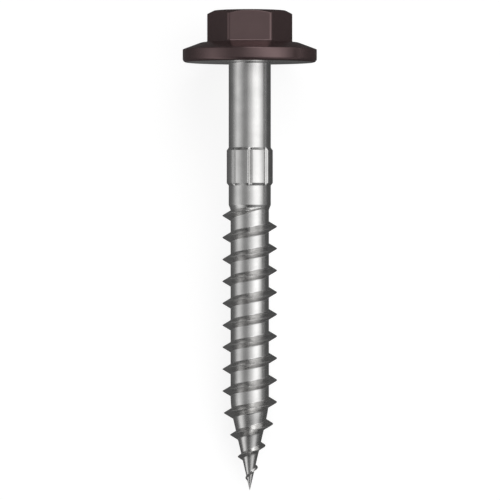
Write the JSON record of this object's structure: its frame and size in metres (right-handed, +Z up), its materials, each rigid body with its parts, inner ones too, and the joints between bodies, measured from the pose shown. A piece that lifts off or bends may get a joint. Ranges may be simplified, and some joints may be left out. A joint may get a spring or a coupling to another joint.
{
  "type": "flanged hex head screw",
  "caption": "Timber screw with a painted hexagon head on a wide conical flange, a plain shank with a grooved collar, and a coarse sharp thread down to its point.",
  "frame": {"origin": "centre of the flange's underside, on the screw's axis", "axes": "+Z up from the surface that the screw lies on, +Y along the screw towards its head and tilted up by 6.7 degrees to its axis, +X across it"},
  "size_m": [0.0156, 0.0557, 0.0156],
  "materials": {
    "plated_steel": "bright zinc plate with a light satin drawn along the shank; the head and flange are painted brown down to the rim's lower edge"
  },
  "bodies": {
    "root": {"screw": "plated_steel"}
  },
  "joints": []
}
